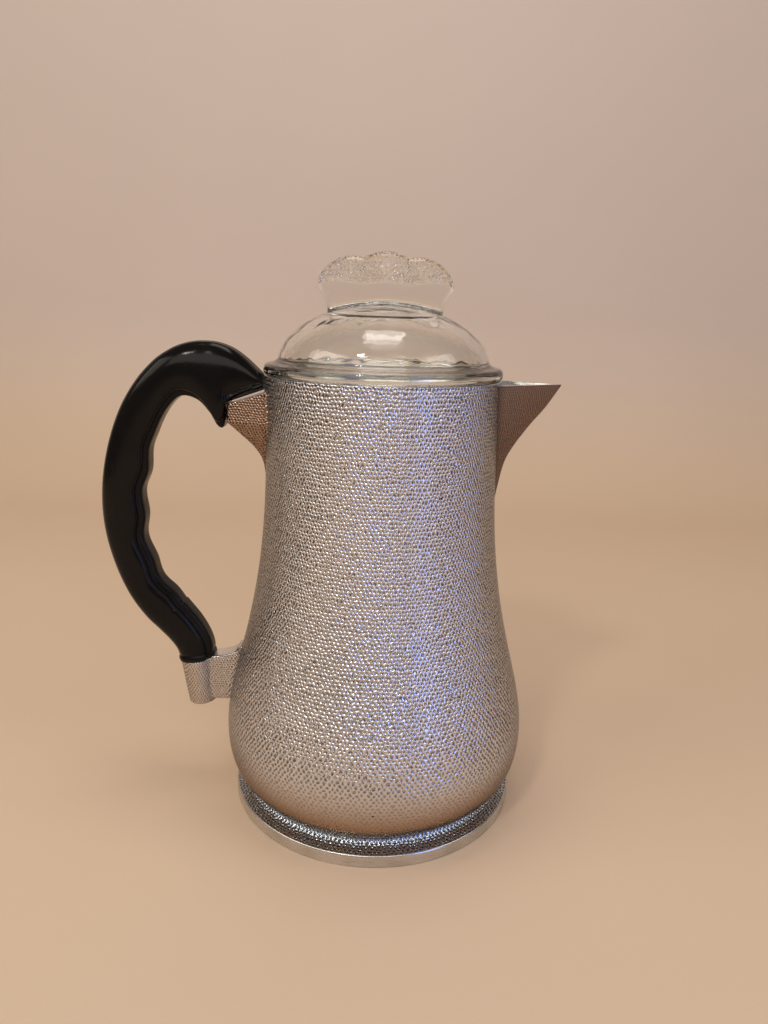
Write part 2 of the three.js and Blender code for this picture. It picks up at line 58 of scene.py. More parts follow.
# ---------------- sizes from the frame
BODY_HIGH = node_box("body_shell")[1]
BELLY_R = BODY_HIGH[0]
RIM_Z = BODY_HIGH[2]
RIM_R = 57.0
NECK_R, NECK_Z = 56.6, 185.0
BELLY_Z = 38.8
WALL = 3.6
SPIGOT_R = node_box("foot_ring")[1][0] - 14.2
FOOT_R = node_box("foot_ring")[1][0]
FOOT_TOP = node_box("foot_ring")[1][2]
BODY_BOTTOM_R = 66.2
FLOOR_Z = 5.0
SPOUT_TIP_X = node_box("pouring_spout")[1][0]
SPOUT_TOP_Z = node_box("pouring_spout")[1][2]
LID_R = node_box("glass_lid")[1][0]

DIMPLE_WAVES = 560.0        # rows of dimples per metre
DIMPLES_ROUND = 195         # dimples in one row round the pot
MEAN_RADIUS = DIMPLES_ROUND / (2 * math.pi * DIMPLE_WAVES * math.sin(math.radians(60)))
DIMPLE_DEPTH = 0.0004       # metres
DIMPLE_WOBBLE = 0.0022      # how far noise shifts the dimples, metres
WOBBLE_SCALE = 300.0        # of that noise
WAVE_WEIGHTS = ((90, 0.72), (210, 1.14), (330, 1.14))   # direction in degrees, and strength
WING_GRAIN = 1.45           # how much finer the grain of the spout and brackets is
WING_Y_SHARE = 0.35         # how much of Y is added to X on them
RELIEF = 0.00004            # height of the same dimples in the mesh, metres


# ---------------- curve helpers
def bezier(points, steps):
    """Points of a Bezier of any degree, both ends included."""
    t = np.linspace(0, 1, steps + 1)[:, None]
    layer = [np.array(p, float)[None, :] + 0 * t for p in points]
    while len(layer) > 1:
        layer = [a * (1 - t) + b * t for a, b in zip(layer, layer[1:])]
    return layer[0]


def spline(points, steps):
    """Catmull-Rom curve through the points, with equal steps between each two."""
    points = np.array(points, float)
    ends = np.vstack([2 * points[0] - points[1], points, 2 * points[-1] - points[-2]])
    t = np.linspace(0, 1, steps, endpoint=False)[:, None]
    rows = []
    for i in range(1, len(ends) - 2):
        p0, p1, p2, p3 = ends[i - 1:i + 3]
        rows.append(0.5 * (2 * p1 + (p2 - p0) * t + (2 * p0 - 5 * p1 + 4 * p2 - p3) * t ** 2
                           + (3 * p1 - p0 - 3 * p2 + p3) * t ** 3))
    return np.vstack(rows + [points[-1:]])


def resample(line, step=None, count=None):
    """The same open line with evenly spaced points."""
    line = np.array(line, float)
    along = np.concatenate([[0], np.cumsum(np.linalg.norm(np.diff(line, axis=0), axis=1))])
    count = count or max(2, int(round(along[-1] / step)) + 1)
    at = np.linspace(0, along[-1], count)
    return np.column_stack([np.interp(at, along, line[:, k]) for k in range(line.shape[1])])


def chaikin(loop, rounds):
    """Rounds the corners of a closed loop."""
    for _ in range(rounds):
        after = np.roll(loop, -1, axis=0)
        pairs = np.stack([0.75 * loop + 0.25 * after, 0.25 * loop + 0.75 * after], 1)
        loop = pairs.reshape(-1, loop.shape[1])
    return loop


def smooth_step(low, high, value):
    t = np.clip((value - low) / (high - low), 0, 1)
    return t * t * (3 - 2 * t)


# ---------------- mesh helpers
def mesh_object(name, points, faces):
    """Object from points in millimetres."""
    mesh = bpy.data.meshes.new(name)
    mesh.from_pydata((np.asarray(points, float) * MM).tolist(), [], faces)
    mesh.validate()
    obj = bpy.data.objects.new(name, mesh)
    bpy.context.scene.collection.objects.link(obj)
    fix_normals(obj)
    return obj


def fix_normals(obj):
    bm = bmesh.new()
    bm.from_mesh(obj.data)
    bmesh.ops.recalc_face_normals(bm, faces=bm.faces)
    if bm.calc_volume(signed=True) < 0:
        bmesh.ops.reverse_faces(bm, faces=bm.faces)
    bm.to_mesh(obj.data)
    bm.free()


def grid_faces(rows, cols, closed_cols=True):
    """Quads of a grid of rows by cols vertices."""
    faces = []
    for i in range(rows - 1):
        for j in range(cols if closed_cols else cols - 1):
            k = (j + 1) % cols
            faces.append((i * cols + j, i * cols + k, (i + 1) * cols + k, (i + 1) * cols + j))
    return faces


def revolve(name, profile, sides, closed=False):
    """Turns [radius, z] points about Z. Ends on the axis are closed to a point."""
    profile = np.array(profile, float)
    angle = np.linspace(0, 2 * math.pi, sides, endpoint=False)
    points, rings = [], []
    for r, z in profile:
        if r < 1e-6:
            rings.append([len(points)])
            points.append((0, 0, z))
        else:
            rings.append(list(range(len(points), len(points) + sides)))
            points.extend(zip(r * np.cos(angle), r * np.sin(angle), np.full(sides, z)))
    faces = []
    pairs = list(zip(rings, rings[1:])) + ([(rings[-1], rings[0])] if closed else [])
    for low, high in pairs:
        if len(low) == len(high) == 1:
            continue
        for j in range(sides):
            k = (j + 1) % sides
            if len(low) == 1:
                faces.append((low[0], high[k], high[j]))
            elif len(high) == 1:
                faces.append((low[j], low[k], high[0]))
            else:
                faces.append((low[j], low[k], high[k], high[j]))
    return mesh_object(name, points, faces)


def skin(name, loops):
    """Closed loops of equal length, one after another, with flat ends."""
    loops = np.array(loops, float)
    rows, cols = loops.shape[:2]
    faces = grid_faces(rows, cols)
    faces.append(tuple(reversed(range(cols))))
    faces.append(tuple(range((rows - 1) * cols, rows * cols)))
    return mesh_object(name, loops.reshape(-1, 3), faces)


def settle(obj):
    """Applies every modifier of an object."""
    graph = bpy.context.evaluated_depsgraph_get()
    mesh = bpy.data.meshes.new_from_object(obj.evaluated_get(graph))
    obj.modifiers.clear()
    obj.data = mesh


def combine(obj, other, operation):
    """Joins or cuts with another closed object, which is used up."""
    modifier = obj.modifiers.new("combine", "BOOLEAN")
    modifier.operation = operation
    modifier.object = other
    modifier.solver = "MANIFOLD"
    settle(obj)
    bpy.data.objects.remove(other)


def drill(obj, holes, sides):
    """Cuts prisms, each given as its lower loop and then its upper loop of points, in one go."""
    points, faces = [], []
    for hole in holes:
        base = len(points)
        points += hole
        faces += [tuple(base + i for i in face) for face in grid_faces(2, sides)]
        faces.append(tuple(base + i for i in reversed(range(sides))))
        faces.append(tuple(base + sides + i for i in range(sides)))
    combine(obj, mesh_object("holes", points, faces), "DIFFERENCE")


def remesh(obj, voxel, smoothing):
    """Melts the bodies of an object into one and rounds its corners. The voxel is in millimetres."""
    modifier = obj.modifiers.new("remesh", "REMESH")
    modifier.mode = "VOXEL"
    modifier.voxel_size = voxel * MM
    relax = obj.modifiers.new("relax", "SMOOTH")
    relax.factor = 0.5
    relax.iterations = smoothing
    settle(obj)


def shade(obj, angle=40):
    """Smooth faces with sharp edges above an angle."""
    obj.data.polygons.foreach_set("use_smooth", [True] * len(obj.data.polygons))
    obj.data.set_sharp_from_angle(angle=math.radians(angle))


def mask(obj, name, values):
    """Stores one number per vertex for the relief."""
    layer = obj.data.attributes.new(name, "FLOAT", "POINT")
    layer.data.foreach_set("value", np.asarray(values, np.float32))


def coordinates(obj):
    """Vertex positions in millimetres."""
    flat = np.empty(3 * len(obj.data.vertices))
    obj.data.vertices.foreach_get("co", flat)
    return flat.reshape(-1, 3) / MM


def from_axis(points):
    """Distance of points from the pot's axis."""
    return np.hypot(points[:, 0], points[:, 1])


def face_centres(obj):
    """Centres in millimetres, and normals, of the faces."""
    count = len(obj.data.polygons)
    centre, normal = np.empty(3 * count), np.empty(3 * count)
    obj.data.polygons.foreach_get("center", centre)
    obj.data.polygons.foreach_get("normal", normal)
    return centre.reshape(-1, 3) / MM, normal.reshape(-1, 3)


def paint(obj, materials, index=None):
    """Gives an object its materials, and each face its index into them."""
    obj.data.materials.clear()
    for material in materials:
        obj.data.materials.append(material)
    if index is None:
        index = np.zeros(len(obj.data.polygons))
    obj.data.polygons.foreach_set("material_index", np.asarray(index, np.int32))


def finish_piece(obj, body, nodes):
    """Says which CAD body a piece rides on, and which nodes it stands for."""
    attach(obj, body)
    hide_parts(*nodes)


# ---------------- node helpers
class Tree:
    """Short-hand for building node trees."""

    def __init__(self, tree):
        self.tree = tree

    def add(self, kind, inputs=None, **settings):
        node = self.tree.nodes.new(kind)
        for key, value in settings.items():
            setattr(node, key, value)
        for key, value in (inputs or {}).items():
            self.put(node.inputs[key], value)
        return node

    def put(self, socket, value):
        if isinstance(value, bpy.types.NodeSocket):
            self.tree.links.new(value, socket)
        else:
            socket.default_value = value

    def math(self, operation, *values):
        node = self.add("ShaderNodeMath", operation=operation)
        for socket, value in zip(node.inputs, values):
            self.put(socket, value)
        return node.outputs[0]

    def vector(self, operation, *values, scale=None):
        node = self.add("ShaderNodeVectorMath", operation=operation)
        for socket, value in zip(node.inputs, values):
            self.put(socket, value)
        if scale is not None:
            self.put(node.inputs["Scale"], scale)
        return node.outputs[0]

    def dot(self, a, b):
        return self.add("ShaderNodeVectorMath", {0: a, 1: b}, operation="DOT_PRODUCT").outputs["Value"]

    def length(self, value):
        return self.add("ShaderNodeVectorMath", {0: value}, operation="LENGTH").outputs["Value"]

    def split(self, value):
        return self.add("ShaderNodeSeparateXYZ", {0: value}).outputs[:]

    def join(self, x, y):
        return self.add("ShaderNodeCombineXYZ", {"X": x, "Y": y}).outputs[0]

    def noise(self, vector, scale, detail=2.0, roughness=0.5):
        node = self.add("ShaderNodeTexNoise", {"Vector": vector, "Scale": scale, "Detail": detail,
                                               "Roughness": roughness})
        return node.outputs[0]

    def noise_colour(self, vector, scale, detail=2.0):
        node = self.add("ShaderNodeTexNoise", {"Vector": vector, "Scale": scale, "Detail": detail})
        return node.outputs[1]

    def remap(self, value, low, high, to_low=0.0, to_high=1.0, smooth=True):
        node = self.add("ShaderNodeMapRange", {"Value": value, "From Min": low, "From Max": high,
                                               "To Min": to_low, "To Max": to_high},
                        interpolation_type="SMOOTHSTEP" if smooth else "LINEAR")
        return node.outputs[0]

    def mix(self, factor, a, b):
        node = self.add("ShaderNodeMix", data_type="RGBA")
        self.put(node.inputs[0], factor)
        self.put(node.inputs[6], a)
        self.put(node.inputs[7], b)
        return node.outputs[2]


def round_the_pot(tree, position):
    """The body's surface rolled out flat: distance round it at its mean radius, and height."""
    x, y, z = tree.split(position)
    return tree.join(tree.math("MULTIPLY", tree.math("ARCTAN2", y, x), MEAN_RADIUS), z)


def round_the_foot(tree, position):
    """The foot's upper side rolled out flat: distance round it, and height less radius."""
    x, y, z = tree.split(position)
    radius = tree.length(tree.join(x, y))
    around = tree.math("MULTIPLY", tree.math("ARCTAN2", y, x), MEAN_RADIUS)
    return tree.join(around, tree.math("SUBTRACT", z, radius))


def from_the_side(tree, position):
    """Places on a wing that stands out along X, spread out so that the grain is finer. A share of Y
    keeps the grain from smearing on faces that turn towards X."""
    x, y, z = tree.split(position)
    flat = tree.join(tree.math("MULTIPLY_ADD", y, WING_Y_SHARE, x), z)
    return tree.vector("SCALE", flat, scale=WING_GRAIN)


def dimples(tree, flat, position):
    """Height of the hammered surface, from 0 at the bottom of a dimple to 1 on the ridges round it:
    three waves that cross at 60 degrees, shifted about by noise."""
    wobble = tree.vector("SUBTRACT", tree.noise_colour(position, WOBBLE_SCALE, 1.0), (0.5, 0.5, 0.5))
    moved = tree.vector("ADD", flat, tree.vector("SCALE", wobble, scale=DIMPLE_WOBBLE))
    waves = []
    for turn, weight in WAVE_WEIGHTS:
        angle = math.radians(turn)
        across = 2 * math.pi * DIMPLE_WAVES * np.array((math.cos(angle), math.sin(angle), 0.0))
        waves.append(tree.math("MULTIPLY", tree.math("COSINE", tree.dot(moved, across)), weight))
    total = tree.math("ADD", tree.math("ADD", waves[0], waves[1]), waves[2])
    highest, lowest = 3.0, -1.5
    return tree.remap(total, highest, lowest, smooth=False)


def relief_group(name, flatten):
    """Geometry nodes that press hammered dimples in along the normals, as deep as the vertices' mask."""
    group = bpy.data.node_groups.new(name, "GeometryNodeTree")
    group.interface.new_socket("Geometry", in_out="INPUT", socket_type="NodeSocketGeometry")
    group.interface.new_socket("Geometry", in_out="OUTPUT", socket_type="NodeSocketGeometry")
    tree = Tree(group)
    source = tree.add("NodeGroupInput")
    position = tree.add("GeometryNodeInputPosition").outputs[0]
    normal = tree.add("GeometryNodeInputNormal").outputs[0]
    height = dimples(tree, flatten(tree, position), position)
    strength = tree.add("GeometryNodeInputNamedAttribute", {"Name": "relief"}, data_type="FLOAT").outputs[0]
    depth = tree.math("MULTIPLY", strength, RELIEF)
    amount = tree.math("MULTIPLY", tree.math("SUBTRACT", height, 1.0), depth)
    offset = tree.vector("SCALE", normal, scale=amount)
    moved = tree.add("GeometryNodeSetPosition", {"Geometry": source.outputs[0], "Offset": offset})
    tree.add("NodeGroupOutput", {0: moved.outputs[0]})
    return group


ROUND_RELIEF = relief_group("relief_round_the_pot", round_the_pot)
FOOT_RELIEF = relief_group("relief_round_the_foot", round_the_foot)
SIDE_RELIEF = relief_group("relief_from_the_side", from_the_side)


def hammer(obj, strength, group):
    """Presses the dimples into the mesh itself."""
    mask(obj, "relief", strength)
    obj.modifiers.new("relief", "NODES").node_group = group
    settle(obj)


# ---------------- materials
def new_material(name):
    material = bpy.data.materials.new(name)
    material.use_nodes = True
    nodes = material.node_tree.nodes
    nodes.clear()
    tree = Tree(material.node_tree)
    shader = tree.add("ShaderNodeBsdfPrincipled")
    tree.add("ShaderNodeOutputMaterial", {"Surface": shader.outputs[0]})
    position = tree.add("ShaderNodeTexCoord").outputs["Object"]
    return material, tree, shader, position


def bump(tree, shader, height, distance, strength=1.0):
    node = tree.add("ShaderNodeBump", {"Height": height, "Distance": distance, "Strength": strength})
    tree.put(shader.inputs["Normal"], node.outputs[0])


def hammered_aluminium(name, flatten, depth=DIMPLE_DEPTH, tone=(1.0, 1.0, 1.0), worn_low=True):
    """Cast aluminium with dimples, and where worn_low, rubbed smooth and browner towards the foot."""
    material, tree, shader, position = new_material(name)
    height = dimples(tree, flatten(tree, position), position)
    z = tree.split(position)[2]
    tint = tree.remap(tree.noise(position, 500.0, 1.0), 0.35, 0.65)
    patch = tree.noise(position, 26.0, 4.0)
    grain = tree.noise(position, 2600.0, 2.0)
    bright = tree.mix(tint, (0.33, 0.325, 0.32, 1), (0.43, 0.425, 0.415, 1))
    dull = tree.mix(tree.remap(patch, 0.35, 0.75, 0.0, 0.5), bright, (0.3, 0.29, 0.28, 1))
    # Darker in the dimple bottoms and lighter on the ridges: partly patina in the hollows and polish on the
    # ridges, partly painted shade in the hollows.
    metal = tree.mix(tree.remap(height, 0.3, 0.85), dull, (0.84, 0.83, 0.82, 1))
    if worn_low:
        specks = tree.remap(tree.noise(position, 1500.0, 2.0), 0.6, 0.68)
        worn = tree.mix(specks, (0.62, 0.6, 0.58, 1), (0.2, 0.17, 0.14, 1))
        metal = tree.mix(tree.remap(z, 0.012, 0.060, 0.05, 1.0), worn, metal)
        # Browner towards the foot.
        brown_towards_foot = tree.mix(tree.remap(z, 0.015, 0.043), (0.7, 0.46, 0.28, 1), (1, 1, 1, 1))
        metal = tree.vector("MULTIPLY", metal, brown_towards_foot)
    pit_cell = tree.add("ShaderNodeTexVoronoi", {"Vector": position, "Scale": 75.0, "Randomness": 1.0},
                        feature="F1")
    pit = tree.math("LESS_THAN", pit_cell.outputs["Distance"], 0.035)
    metal = tree.mix(pit, metal, (0.03, 0.026, 0.022, 1))
    tree.put(shader.inputs["Base Color"], tree.vector("MULTIPLY", metal, tone))
    shader.inputs["Metallic"].default_value = 1.0
    shader.inputs["Specular Tint"].default_value = (0.55, 0.54, 0.53, 1)
    rough = tree.remap(height, 0.05, 0.7, 0.27, 0.17)
    rough = tree.math("ADD", rough, tree.remap(grain, 0.3, 0.7, -0.03, 0.04))
    tree.put(shader.inputs["Roughness"], rough)
    if worn_low:
        height = tree.math("MULTIPLY", height, tree.remap(z, 0.012, 0.058, 0.12, 1.0))
    bumps = tree.math("ADD", height, tree.math("MULTIPLY", grain, 0.03))
    bump(tree, shader, bumps, depth)
    return material


def machined_aluminium(name, tone=1.0):
    """Polished or spun aluminium with fine turning lines and scratches."""
    material, tree, shader, position = new_material(name)
    x, y, z = tree.split(position)
    radius = tree.length(tree.join(x, y))
    lines_at = tree.add("ShaderNodeCombineXYZ", {"X": radius, "Z": z}).outputs[0]
    lines = tree.noise(lines_at, 4200.0, 3.0, 0.6)
    cloud = tree.noise(position, 60.0, 4.0)
    stretched = tree.vector("MULTIPLY", position, (90.0, 90.0, 1500.0))
    scratch = tree.remap(tree.noise(stretched, 1.0, 2.0), 0.66, 0.72)
    base = tree.mix(tree.remap(cloud, 0.35, 0.7), (0.82, 0.815, 0.8, 1), (0.66, 0.65, 0.635, 1))
    base = tree.mix(tree.math("MULTIPLY", scratch, 0.35), base, (0.4, 0.39, 0.38, 1))
    tree.put(shader.inputs["Base Color"], tree.vector("MULTIPLY", base, (tone, tone, tone)))
    shader.inputs["Metallic"].default_value = 1.0
    tree.put(shader.inputs["Roughness"], tree.remap(lines, 0.3, 0.7, 0.16, 0.34))
    bump(tree, shader, tree.math("ADD", lines, scratch), 0.000012)
    return material


def moulded_phenolic():
    material, tree, shader, position = new_material("black_phenolic")
    cloud = tree.noise(position, 45.0, 3.0)
    wear = tree.noise(position, 700.0, 4.0, 0.65)
    hair = tree.vector("MULTIPLY", position, (500.0, 500.0, 60.0))
    scratch = tree.remap(tree.noise(hair, 1.0, 2.0), 0.68, 0.73)
    black = tree.mix(cloud, (0.004, 0.0036, 0.0036, 1), (0.01, 0.0085, 0.008, 1))
    tree.put(shader.inputs["Base Color"], black)
    rough = tree.math("ADD", tree.remap(wear, 0.3, 0.75, 0.12, 0.2), tree.math("MULTIPLY", scratch, 0.12))
    tree.put(shader.inputs["Roughness"], rough)
    shader.inputs["IOR"].default_value = 1.5
    shader.inputs["Specular IOR Level"].default_value = 0.16
    bump(tree, shader, tree.noise(position, 160.0, 2.0), 0.00006)
    return material


def pressed_glass():
    material, tree, shader, position = new_material("clear_glass")
    shader.inputs["Base Color"].default_value = (0.975, 0.98, 0.955, 1)
    shader.inputs["Transmission Weight"].default_value = 1.0
    shader.inputs["IOR"].default_value = 1.5
    tree.put(shader.inputs["Roughness"], tree.remap(tree.noise(position, 120.0, 3.0), 0.5, 0.8, 0.0, 0.03))
    bump(tree, shader, tree.noise(position, 75.0, 2.0), 0.0004)
    return material


def plain_metal(name, colour, roughness):
    material, tree, shader, position = new_material(name)
    cloud = tree.noise(position, 400.0, 4.0)
    dark = tuple(0.6 * c for c in colour[:3]) + (1,)
    tree.put(shader.inputs["Base Color"], tree.mix(tree.remap(cloud, 0.35, 0.7), colour, dark))
    shader.inputs["Metallic"].default_value = 1.0
    tree.put(shader.inputs["Roughness"], tree.remap(cloud, 0.3, 0.7, roughness - 0.07, roughness + 0.12))
    bump(tree, shader, cloud, 0.00002)
    return material


MAT_CAST = hammered_aluminium("hammered_body", round_the_pot, tone=(0.94, 0.97, 1.06))
MAT_CAST_FOOT = hammered_aluminium("hammered_foot", round_the_foot, 0.00034, (0.7, 0.82, 0.96),
                                   worn_low=False)
# The spout and the wings get a darker brown tone: painted reflection of a wooden floor and painted shade on
# them, in place of the metal's own grey.
MAT_CAST_SPOUT = hammered_aluminium("hammered_spout", from_the_side, 0.00045, (0.42, 0.31, 0.26))
MAT_CAST_SIDE = hammered_aluminium("hammered_wings", from_the_side, 0.0003, (0.56, 0.4, 0.32))
MAT_CAST_SOCKET = hammered_aluminium("hammered_socket", from_the_side, 0.0003, (0.86, 0.82, 0.8))
MAT_POLISHED = machined_aluminium("polished_aluminium")
MAT_SPUN = machined_aluminium("spun_aluminium")
MAT_BAND = machined_aluminium("worn_aluminium", 0.84)
MAT_PHENOLIC = moulded_phenolic()
MAT_GLASS = pressed_glass()
MAT_STEEL = plain_metal("plated_steel", (0.6, 0.6, 0.61, 1), 0.3)
MAT_BRASS = plain_metal("turned_brass", (0.72, 0.52, 0.22, 1), 0.28)


# ---------------- cast body and foot
def body_side(inset=0.0, step=0.78):
    """Evenly spaced [radius, z] points of the body's side, from the foot to the rim."""
    foot = (BODY_BOTTOM_R - inset, FOOT_TOP + 0.3 + inset)
    belly = (BELLY_R - inset, BELLY_Z)
    neck = (NECK_R - inset, NECK_Z)
    low = bezier([foot, (71.5 - inset, 14.5 + inset), (BELLY_R - inset, 20 + inset), belly], 60)
    middle = bezier([belly, (BELLY_R - inset, 68.8), (NECK_R - inset, 97.6), neck], 200)
    top = bezier([neck, (RIM_R - inset, RIM_Z - 0.8)], 2)
    return resample(np.vstack([low, middle[1:], top[1:]]), step=step)


def body_radius(z):
    side = body_side(step=0.5)
    return np.interp(z, side[:, 1], side[:, 0])


STRAINER_ROWS = ((5, 208.5), (4, 201.0), (3, 193.5), (2, 186.0))
STRAINER_PITCH = 5.6
STRAINER_R = 2.0


def make_body():
    outside = body_side()
    inside = body_side(WALL, 7.0)[::-1]
    rim = bezier([(RIM_R, RIM_Z - 0.8), (RIM_R, RIM_Z), (RIM_R - 0.9, RIM_Z)], 3)[1:]
    rim_inner = bezier([(RIM_R - WALL + 0.9, RIM_Z), (RIM_R - WALL, RIM_Z), (RIM_R - WALL, RIM_Z - 0.8)], 3)
    base = [(0, 0), (SPIGOT_R - 0.6, 0), (SPIGOT_R - 0.2, 0.5), (SPIGOT_R - 0.2, FOOT_TOP + 0.3)]
    floor = bezier([inside[-1], (SPIGOT_R - 3, FLOOR_Z + 1), (SPIGOT_R - 8, FLOOR_Z)], 4)[1:]
    profile = np.vstack([base, outside, rim, rim_inner, inside[1:], floor, [(0, FLOOR_Z)]])
    body = revolve("pot_body", profile, 560)
    turn = np.linspace(0, 2 * math.pi, 24, endpoint=False)
    holes = []
    for count, z in STRAINER_ROWS:
        for i in range(count):
            y = (i - (count - 1) / 2) * STRAINER_PITCH
            holes.append([(x, y + STRAINER_R * math.cos(t), z + STRAINER_R * math.sin(t))
                          for x in (RIM_R - 9, RIM_R + 9) for t in turn])
    drill(body, holes, 24)
    points = coordinates(body)
    on_side = from_axis(points) > body_radius(points[:, 2]) - 0.05
    low_fade = smooth_step(14, 36, points[:, 2]) * 0.8 + 0.2
    top_fade = 1 - smooth_step(RIM_Z - 1.6, RIM_Z - 0.4, points[:, 2])
    hammer(body, on_side * low_fade * top_fade * (points[:, 2] > FOOT_TOP + 1), ROUND_RELIEF)
    centre, _ = face_centres(body)
    outer = from_axis(centre) > body_radius(centre[:, 2]) - 0.4
    outer &= (centre[:, 2] > FOOT_TOP + 0.5) & (centre[:, 2] < RIM_Z - 0.5)
    paint(body, [MAT_CAST, MAT_SPUN], np.where(outer, 0, 1))
    shade(body, 50)
    finish_piece(body, "pot", ["body_shell"])
    return body


def make_foot():
    band_top, land_r, cove_r = 6.3, 70.0, 66.0
    cove = bezier([(land_r, 6.8), (67.6, 7.1), (66.5, 8.0), (cove_r, FOOT_TOP)], 14)
    land = resample([(FOOT_R - 1.1, band_top + 0.05), (land_r, 6.8)], step=0.8)
    corner = bezier([(FOOT_R, band_top - 1.1), (FOOT_R, band_top), (FOOT_R - 1.1, band_top + 0.05)], 5)
    low_corner = bezier([(FOOT_R - 0.7, 0), (FOOT_R, 0), (FOOT_R, 0.7)], 4)
    profile = np.vstack([[(SPIGOT_R, 0)], low_corner, corner, land[1:], cove[1:], [(SPIGOT_R, FOOT_TOP)]])
    foot = revolve("foot_band", profile, 420, closed=True)
    points = coordinates(foot)
    radius = from_axis(points)
    cast_zone = (radius < FOOT_R - 1.0) & (points[:, 2] > band_top - 0.2) & (radius > cove_r - 0.1)
    hammer(foot, cast_zone * 0.8, FOOT_RELIEF)
    centre, _ = face_centres(foot)
    radius = from_axis(centre)
    cast_face = (radius < FOOT_R - 0.9) & (centre[:, 2] > band_top - 0.1) & (radius > cove_r - 0.1)
    paint(foot, [MAT_BAND, MAT_CAST_FOOT], np.where(cast_face, 1, 0))
    shade(foot, 45)
    finish_piece(foot, "pot", ["foot_ring"])
    return foot


# ---------------- spout and brackets
SEAM_X = NECK_R - 1
WING_LOW_Z = 160.5
SPOUT_KEEL = spline([(57.4, 158), (58.7, 166), (61.3, 178.4), (65.6, 187.1), (72.7, 197.5), (79.4, 205.9),
                     (SPOUT_TIP_X, SPOUT_TOP_Z)], 12)
SPOUT_HALF = 19.0
SPOUT_WALL = 2.6
CHANNEL_OPENS = (177, 184)   # heights between which the pouring channel widens from nothing


def wedge_half(reach, full_reach, full_half):
    """Half width of a wing where it meets the body, from how far it reaches out."""
    return full_half * (max(reach, 0.5) / full_reach) ** 0.4


def flank(tip_x, tip_half, body_half, radius, fillet, tip_round, count):
    """Half outline in plan, from the tip on the axis to a fillet that ends on the body's circle."""
    slope = (body_half - tip_half) / (tip_x - SEAM_X)
    a, b = 1 + slope ** 2, -2 * tip_x + 2 * slope * tip_half
    c = tip_x ** 2 + tip_half ** 2 - radius ** 2
    run = max((-b - math.sqrt(max(b * b - 4 * a * c, 0))) / (2 * a), 0.3)
    joint = np.array([tip_x - run, tip_half + slope * run])
    tip = np.array([tip_x, tip_half])
    side = joint - tip
    length = np.linalg.norm(side)
    side = side / length
    fillet = min(fillet, 0.45 * length)
    tip_round = min(tip_round, 0.3 * length)
    turn = fillet / radius
    angle = math.atan2(joint[1], joint[0]) + turn
    landing = (radius - 0.12) * np.array([math.cos(angle), math.sin(angle)])
    start = bezier([(tip_x, 0), tip, tip + side * tip_round], 5)
    middle = resample([start[-1], joint - side * fillet], count=count)
    end = bezier([middle[-1], joint, landing], 7)
    return np.vstack([start, middle[1:], end[1:]])


def mirrored(half, sign=1.0):
    """Whole open outline from one side to the other, through the tip."""
    other = half[::-1] * (1, -1)
    line = np.vstack([other, half[1:]])
    return line * (sign, 1)


def spout_section(z):
    """Where the keel is, half the width at the body, and the body's radius."""
    tip = np.interp(z, SPOUT_KEEL[:, 1], SPOUT_KEEL[:, 0])
    half = wedge_half(tip - SEAM_X, SPOUT_TIP_X - SEAM_X, SPOUT_HALF)
    return tip, half, body_radius(z)


def make_spout():
    heights = np.linspace(WING_LOW_Z, SPOUT_TOP_Z, 74)
    outer, inner = [], []
    for z in heights:
        tip, half, radius = spout_section(z)
        line = mirrored(flank(tip, 0.9, half, radius, 3.5, 1.6, 34))
        slope = (half - 0.9) / (tip - SEAM_X)
        thick = SPOUT_WALL * math.hypot(1, slope) / slope
        floor_open = smooth_step(*CHANNEL_OPENS, z)
        inner_tip = max(tip - thick, radius - 1.2)
        back = radius - 1.6
        inner_half = max(0.3 + slope * (inner_tip - back), 0.3) * floor_open + 0.2
        apex = back + (inner_tip - back) * floor_open
        share = np.linspace(-1, 1, len(line))
        channel = np.column_stack([back + (apex - back) * (1 - np.abs(share)) ** 0.97,
                                   np.sign(share) * inner_half * np.abs(share)])
        outer.append(line)
        inner.append(channel)
    outer, inner = np.array(outer), np.array(inner)
    lip = outer[-1] + (inner[-1] - outer[-1]) * 0.06
    loops = []
    for k, z in enumerate(heights):
        top = k == len(heights) - 1
        front = lip if top else outer[k]
        ring = np.vstack([front, inner[k][::-1]])
        height = min(z, SPOUT_TOP_Z - 0.35) if k == len(heights) - 2 else z
        loops.append(np.column_stack([ring, np.full(len(ring), height)]))
    rows, cols = len(loops), len(loops[0])
    faces = grid_faces(rows, cols)
    faces.append(tuple(reversed(range(cols))))
    last = (rows - 1) * cols
    half = cols // 2
    for i in range(half - 1):
        faces.append((last + i, last + i + 1, last + cols - 2 - i, last + cols - 1 - i))
    spout = mesh_object("spout", np.array(loops).reshape(-1, 3), faces)
    points = coordinates(spout)
    index = np.arange(len(points)) % cols
    rough = (index < half) & (points[:, 2] < SPOUT_TOP_Z - 0.8)
    rough = rough * smooth_step(0.0, 3.0, np.minimum(index, half - 1 - index))
    hammer(spout, rough * 0.8, SIDE_RELIEF)
    _, normal = face_centres(spout)
    face = np.arange(len(normal))
    outside = (face % cols < half) & (face < (rows - 1) * cols) & (normal[:, 2] < 0.7)
    paint(spout, [MAT_CAST_SPOUT, MAT_POLISHED], np.where(outside, 0, 1))
    shade(spout, 50)
    finish_piece(spout, "pot", ["pouring_spout"])
    return spout


BRACKET_END_X, BRACKET_END_Z = -74.9, 195.4
BRACKET_LOW = spline([(-56.6, 158), (-56.8, 166.4), (-57.2, 171.4), (-58.6, 177.6), (-61.9, 183.2),
                      (-65.7, 187.4), (-72.1, 193.2), (BRACKET_END_X, BRACKET_END_Z)], 10)
FACE_POINT = (-73.1, 204.6)
FACE_SLOPE = (210.9 - 204.6) / (73.1 - 54.1)


def bracket_face_z(x):
    """Height of the bracket's sloping upper face."""
    return FACE_POINT[1] + FACE_SLOPE * (x - FACE_POINT[0])


